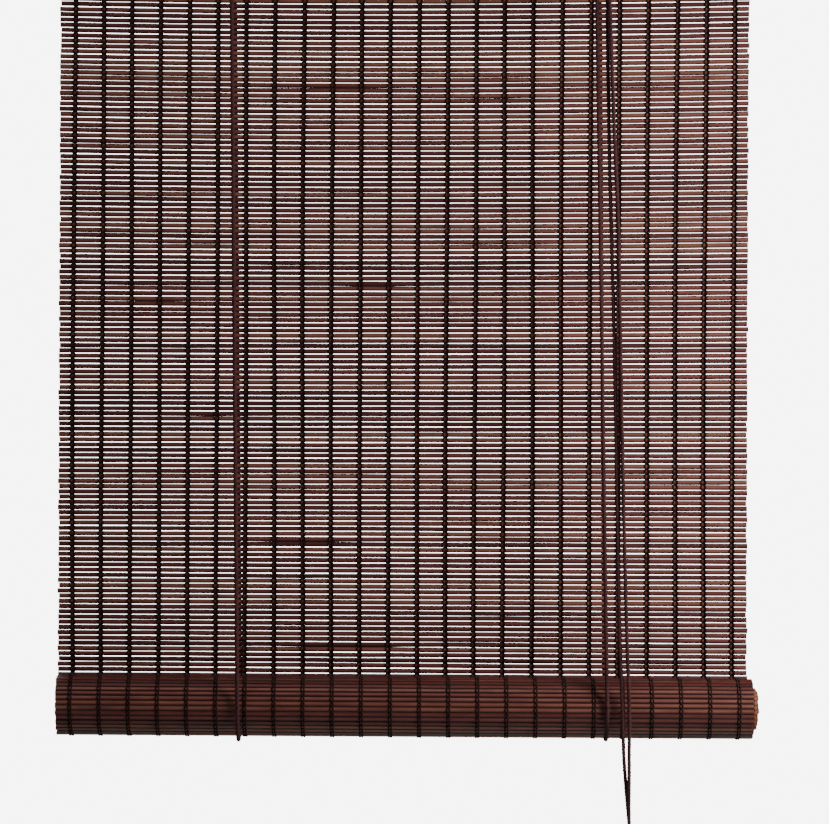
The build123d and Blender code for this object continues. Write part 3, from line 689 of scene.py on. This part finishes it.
def evenly(points, step):
    lengths = [0.0]
    for a, b in zip(points, points[1:]):
        lengths.append(lengths[-1] + (b - a).length)
    count = max(int(lengths[-1] / step), 2)
    xs = np.linspace(0, lengths[-1], count + 1)
    array = np.array([tuple(p) for p in points])
    return [Vector([float(np.interp(x, lengths, array[:, axis])) for axis in range(3)]) for x in xs], lengths[-1]


def pliedCord(centreline, make=cordMake):
    line, length = evenly(centreline, make["step"])
    orbit = make["radius"] - make["plyRadius"]
    tangents = [(line[min(i + 1, len(line) - 1)] - line[max(i - 1, 0)]).normalized() for i in range(len(line))]
    parts = []
    for ply in range(make["plies"]):
        normal = tangents[0].orthogonal().normalized()
        path = []
        for index, (place, tangent) in enumerate(zip(line, tangents)):
            normal = (normal - tangent * normal.dot(tangent)).normalized()
            turn = 2 * math.pi * (index * length / (len(line) - 1) / make["lay"] + ply / make["plies"])
            path.append(place + (normal * math.cos(turn) + tangent.cross(normal) * math.sin(turn)) * orbit)
        parts.append(tube(path, make["plyRadius"], make["sides"]))
    return gather(parts), length


def cordPiece(name, centreline, body, *nodes):
    (points, faces), length = pliedCord(centreline)
    piece = addPiece(name, meshFrom(name, points, faces), cordCotton, body)
    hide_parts(*nodes)
    return piece, length


def nurbsLine(name, points):
    # a fourth number is a point's weight, for the square corners that round a sheave or the roll
    curve = bpy.data.curves.new(name, "CURVE")
    curve.dimensions = "3D"
    spline = curve.splines.new("NURBS")
    spline.points.add(len(points) - 1)
    for point, place in zip(spline.points, points):
        point.co = (*place, 1)[:4]
    spline.order_u = 3
    spline.use_endpoint_u = True
    spline.resolution_u = 8
    holder = bpy.data.objects.new(name, curve)
    bpy.context.scene.collection.objects.link(holder)
    bpy.context.view_layer.update()
    mesh = bpy.data.meshes.new_from_object(holder.evaluated_get(bpy.context.evaluated_depsgraph_get()))
    line = [v.co.copy() for v in mesh.vertices]
    bpy.data.objects.remove(holder)
    return line


def middle(box, axis):
    return (box[0][axis] + box[1][axis]) / 2


grooveRadius, cadCord = 5.0 * mm, 1.5 * mm
leftSheave = Vector(jointPlace("left_sheave_spin"))
rearSheave, frontSheave = Vector(jointPlace("rear_sheave_spin")), Vector(jointPlace("front_sheave_spin"))
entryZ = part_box("left_cord_front_run")[1][2]
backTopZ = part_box("left_cord_back_run")[1][2]
for side, topX in (("left", leftSheave.x - grooveRadius), ("right", rearSheave.x - grooveRadius)):
    loopBox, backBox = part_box(f"{side}_cord_loop"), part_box(f"{side}_cord_back_run")
    loopX, frontY, backY = middle(loopBox, 0), loopBox[0][1] + cadCord, loopBox[1][1] - cadCord
    frontTop, backTop = (topX, leftSheave.y, entryZ), (backBox[0][0] + cadCord, backY, backTopZ)
    frontLow, backLow, low = (loopX, frontY, rollAxis.z), (loopX, backY, rollAxis.z), loopBox[0][2] + cadCord
    frontLine = nurbsLine(f"{side}FrontLine", [frontTop, frontLow])
    backLine = nurbsLine(f"{side}BackLine", [backTop, backLow])
    loopLine = nurbsLine(f"{side}LoopLine", [backLow, (loopX, backY, low, 0.5), (loopX, frontY, low, 0.5), frontLow])
    front, _ = cordPiece(f"{side}FrontRun", frontLine, "head", f"{side}_cord_front_run")
    back, _ = cordPiece(f"{side}BackRun", backLine, "head", f"{side}_cord_back_run")
    cordPiece(f"{side}Loop", loopLine, "carriage", f"{side}_cord_loop")
    1 - liftRange / (entryZ - rollAxis.z)
    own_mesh(front)
    1 - liftRange / (backTopZ - rollAxis.z)
    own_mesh(back)

crestZ = leftSheave.z + grooveRadius
leftHeader = [
    (leftSheave.x - grooveRadius, leftSheave.y, entryZ), (leftSheave.x - grooveRadius, leftSheave.y, crestZ, 0.6),
    (leftSheave.x + grooveRadius, leftSheave.y, crestZ), (frontSheave.x - grooveRadius, frontSheave.y, crestZ),
    (frontSheave.x + grooveRadius, frontSheave.y, crestZ, 0.6), (frontSheave.x + grooveRadius, frontSheave.y, entryZ),
]
rightHeader = [
    (rearSheave.x - grooveRadius, rearSheave.y, entryZ), (rearSheave.x - grooveRadius, rearSheave.y, crestZ, 0.5),
    (rearSheave.x + grooveRadius, rearSheave.y, crestZ, 0.5), (rearSheave.x + grooveRadius, rearSheave.y, entryZ),
]
cordPiece("leftHeaderCord", nurbsLine("leftHeaderLine", leftHeader), "head", "left_header_cord")
cordPiece("rightHeaderCord", nurbsLine("rightHeaderLine", rightHeader), "head", "right_header_cord")
print("lift cords done")


# The pull cords: routes listed point by point, then the hank's turns by a loop, then the tails
rightPullRoute = [
    (0.1740, -0.0674, -0.0235), (0.1740, -0.0674, -0.0500), (0.1742, -0.0675, -0.0950),
    (0.1745, -0.0677, -0.1520), (0.1754, -0.0679, -0.2220), (0.1765, -0.0679, -0.2940),
    (0.1781, -0.0677, -0.3520), (0.1809, -0.0676, -0.4520), (0.1828, -0.0677, -0.5780),
    (0.1852, -0.0675, -0.7020), (0.1876, -0.0672, -0.7560), (0.1889, -0.0669, -0.8120),
]
leftPullRoute = [
    (0.1740, -0.0724, -0.0235), (0.1740, -0.0724, -0.0500), (0.1747, -0.0723, -0.0950),
    (0.1766, -0.0720, -0.1520), (0.1789, -0.0716, -0.2220), (0.1815, -0.0713, -0.2940),
    (0.1842, -0.0711, -0.3520), (0.1859, -0.0709, -0.4520), (0.1882, -0.0705, -0.5780),
    (0.1912, -0.0700, -0.7020), (0.1936, -0.0694, -0.7560), (0.1933, -0.0682, -0.8120),
]
hank = {
    "layers": 4, "inner": 10.3 * mm, "layerStep": 2.8 * mm, "rowStep": 3.1 * mm, "pinch": 7.2 * mm,
    "lead": 7.7 * mm,
}
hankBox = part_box("pull_cord_hank")
hankMiddle = Vector([middle(hankBox, axis) for axis in range(3)])
hankRun = (hankBox[1][2] - hankBox[0][2]) - (hankBox[1][0] - hankBox[0][0])
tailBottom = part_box("pull_cord_left")[0][2]


def hankTurn(radius, nextRadius, y, nextY):
    # one racetrack turn, up the left side and down the right, growing or shrinking as it goes
    heights, turns, places = (-0.5, -0.25, 0.0, 0.25, 0.5), (150, 120, 90, 60, 30), []
    sequence = [("side", -1, h) for h in heights] + [("arc", 1, t) for t in turns]
    sequence += [("side", 1, -h) for h in heights] + [("arc", -1, t) for t in turns]
    for index, (kind, sign, value) in enumerate(sequence):
        share = index / len(sequence)
        r, yy = radius + (nextRadius - radius) * share, y + (nextY - y) * share
        if kind == "side":
            near = 1 - float(smooth(abs(value) / 0.5))
            places.append((hankMiddle.x + sign * (r - hank["pinch"] * near), yy, hankMiddle.z + value * hankRun))
        else:
            turn = math.radians(value)
            x = hankMiddle.x + sign * r * math.cos(turn)
            places.append((x, yy, hankMiddle.z + sign * (hankRun / 2 + r * math.sin(turn))))
    return places


def pullRoute(route, back, tailX):
    # back is 1 for the rows towards the wall and -1 for those towards the room
    leadX, leadY = hankMiddle.x + (2.0 + 0.4 * back) * mm, hankMiddle.y + back * hank["lead"]
    top, bottom = hankBox[1][2], hankBox[0][2]
    outer = hank["inner"] + (hank["layers"] - 1) * hank["layerStep"]
    left, right = hankMiddle.x - outer, hankMiddle.x + outer
    rows = [hankMiddle.y + back * hank["rowStep"] * share for share in (1.5, 0.5)]
    points = list(route)
    points += [(leadX, (route[-1][1] + leadY) / 2, top + 16 * mm), (leadX, leadY, top - 8 * mm)]
    points += [(leadX, leadY, hankMiddle.z), (leadX, leadY, bottom + 24 * mm)]
    for step in range(7):  # round the bottom and over to the left side
        turn, share = math.radians(-30 * step), step / 6
        reach, centre = (leadX - left) / 2, (leadX + left) / 2
        x, y = centre + reach * math.cos(turn), leadY + (rows[0] - leadY) * share
        points.append((x, y, bottom + 15 * mm + reach * math.sin(turn)))
    radii = [outer - hank["layerStep"] * turn for turn in range(hank["layers"])]
    for turn, radius in enumerate(radii):
        last = turn + 1 == len(radii)
        points += hankTurn(radius, radius if last else radii[turn + 1], rows[0], rows[1] if last else rows[0])
    for turn, radius in enumerate(reversed(radii)):
        last = turn + 1 == len(radii)
        lap = hankTurn(radius, radius if last else radius + hank["layerStep"], rows[1], rows[1])
        points += lap[:14] if last else lap
    points += [
        (right, rows[1], bottom + 20 * mm), (right - 0.5 * mm, rows[1], bottom + 12 * mm),
        (right - 6 * mm, rows[1], bottom + 5 * mm), (hankMiddle.x + 5.5 * mm, rows[1], bottom - 2 * mm),
        (tailX + 0.8 * mm, hankMiddle.y + back * 0.6 * mm, bottom - 9 * mm), (tailX, hankMiddle.y, bottom - 17 * mm),
        (tailX, hankMiddle.y, tailBottom),
    ]
    return points


pullMake = dict(cordMake, step=2.2 * mm, sides=5)
for side, route, back, tailX in (
    ("right", rightPullRoute, 1, hankMiddle.x - 1.6 * mm),
    ("left", leftPullRoute, -1, hankMiddle.x + 1.6 * mm),
):
    line = nurbsLine(f"{side}PullLine", pullRoute(route, back, tailX))
    (points, faces), length = pliedCord(line, pullMake)
    name = f"{side}PullCord"
    piece = addPiece(name, meshFrom(name, points, faces), cordCotton, "head")
    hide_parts(f"pull_cord_{side}", *(["pull_cord_hank"] if side == "left" else []))
    print(name, round(length, 3))


# The tie: a few wraps of string round the hank's waist
tieMake = {
    "radius": 0.95 * mm, "wraps": 4, "steps": 40, "pitch": 2.0 * mm,
    "halfWide": 13.7 * mm, "halfDeep": 10.6 * mm, "power": 3.0,
}
tiePath = []
for step in range(tieMake["wraps"] * tieMake["steps"] + 1):
    turn = 2 * math.pi * step / tieMake["steps"]
    c, s = math.cos(turn), math.sin(turn)
    scale = (abs(c) ** tieMake["power"] + abs(s) ** tieMake["power"]) ** (-1 / tieMake["power"])
    wide, deep = c * scale * tieMake["halfWide"], s * scale * tieMake["halfDeep"]
    z = hankMiddle.z + (step / tieMake["steps"] - tieMake["wraps"] / 2) * tieMake["pitch"]
    tiePath.append(Vector((hankMiddle.x + wide, hankMiddle.y + deep, z)))
tieMesh = meshFrom("hankTie", *tube(tiePath, tieMake["radius"], 8))
tiePiece = addPiece("hankTie", tieMesh, cordCotton, "head")
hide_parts("hank_tie")


# Knots: a cord lapped round itself, at the lift cords' ends and inside the acorn
knotMake = {"steps": 24, "narrowing": 0.35, "height": 1.05, "endInset": 2.6 * mm}


def knotPiece(name, centres, lapRadius, cordRadius, laps, nodeName):
    parts = []
    for centre in centres:
        path = []
        for step in range(laps * knotMake["steps"] + 1):
            turn = 2 * math.pi * step / knotMake["steps"]
            rise = (step / (laps * knotMake["steps"]) - 0.5) * 2
            wide = lapRadius * (1 - knotMake["narrowing"] * rise * rise)
            z = rise * lapRadius * knotMake["height"]
            path.append(centre + Vector((wide * math.cos(turn), wide * math.sin(turn), z)))
        parts.append(tube(path, cordRadius, 8))
    piece = addPiece(name, meshFrom(name, *gather(parts)), cordCotton, "head")
    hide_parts(nodeName)


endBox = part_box("cord_end_knots")
endZ, endY = middle(endBox, 2), middle(endBox, 1)
endXs = (endBox[0][0] + knotMake["endInset"], endBox[1][0] - knotMake["endInset"])
endCentres = [Vector((x, endY, endZ)) for x in endXs]
knotPiece("cordEndKnots", endCentres, 1.35 * mm, 1.15 * mm, 2, "cord_end_knots")
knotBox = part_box("cord_knot")
knotCentre = Vector([middle(knotBox, axis) for axis in range(3)])
knotPiece("acornKnot", [knotCentre], 3.1 * mm, 1.6 * mm, 3, "cord_knot")
print("knots and tie done")


# Finishes for the pieces kept as they are
keptFinishes = {
    battenWood: ["head_batten"],
    rodWood: ["bottom_rod"],
    acornWood: ["cord_acorn"],
    zincSteel: ["left_wall_bracket", "right_wall_bracket", "bracket_screws", "pulley_screws"],
    brightWire: ["mat_staples", "cord_anchor_staples", "left_pulley_pin", "lock_sheave_pin", "lock_cam_pin"],
    pressedSteel: ["left_pulley_bracket", "lock_housing"],
    darkNylon: ["left_pulley_sheave", "lock_rear_sheave", "lock_front_sheave", "lock_cam"],
}
for material, names in keptFinishes.items():
    for name in names:
        for materialSlot in frame["nodes"][name].material_slots:
            materialSlot.material = material
bpy.data.objects.remove(blankSlat)
print("finishes given")


# Floor, light and camera: the sky shows behind the piece and lights nothing
stageSet = {"floorZ": -1.25, "halfWide": 3, "halfDeep": 2, "sky": 7.0}
wide, deep = stageSet["halfWide"], stageSet["halfDeep"]
floorCorners = [(x * wide, y * deep, stageSet["floorZ"]) for x, y in ((-1, -1), (1, -1), (1, 1), (-1, 1))]
floorMesh = meshFrom("floor", floorCorners, [(0, 1, 2, 3)])
floorMaterial, _, _ = newMaterial("paleFloor", Base_Color=(0.74, 0.73, 0.72, 1), Roughness=0.8)
floorMesh.materials.append(floorMaterial)
floor = bpy.data.objects.new("floor", floorMesh)
bpy.context.scene.collection.objects.link(floor)

world = bpy.data.worlds.new("studio")
bpy.context.scene.world = world
world.use_nodes = True
sky = Sheet(world.node_tree)
seen = sky.add("ShaderNodeLightPath", None, None, "Is Camera Ray")
strength = seen * stageSet["sky"]
background = world.node_tree.nodes["Background"]
background.inputs["Color"].default_value = (1, 1, 1, 1)
world.node_tree.links.new(strength.socket, background.inputs["Strength"])

view = {"distance": 3.4, "width": 0.72405, "sensor": 36, "middleX": 0.0096, "middleZ": -0.5066}
target = Vector((view["middleX"], -0.03, view["middleZ"]))
lamps = [  # name, place, size, power and colour
    ("rightLamp", (0.85, -0.52, -0.36), 0.4, 23, (1, 0.96, 0.92)),
    ("leftLamp", (-1.0, -0.7, 0.3), 0.3, 7, (1, 0.98, 0.96)),
    ("topLamp", (0.0, -1.2, 1.9), 1.4, 14, (1, 1, 1)),
    ("backLamp", (-0.5, 1.6, 0.5), 1.0, 10, (1, 0.98, 0.95)),
]
for name, place, size, power, colour in lamps:
    light = bpy.data.lights.new(name, "AREA")
    light.size, light.energy, light.color = size, power, colour
    lamp = bpy.data.objects.new(name, light)
    lamp.location = place
    lamp.rotation_euler = (target - Vector(place)).to_track_quat("-Z", "Y").to_euler()
    bpy.context.scene.collection.objects.link(lamp)

camera = bpy.data.cameras.new("camera")
camera.sensor_width = view["sensor"]
camera.lens = view["sensor"] * view["distance"] / view["width"]
eye = bpy.data.objects.new("camera", camera)
eye.location = (view["middleX"], -view["distance"], view["middleZ"])
eye.rotation_euler = (math.pi / 2, 0, 0)
bpy.context.scene.collection.objects.link(eye)
bpy.context.scene.camera = eye
print("stage set")
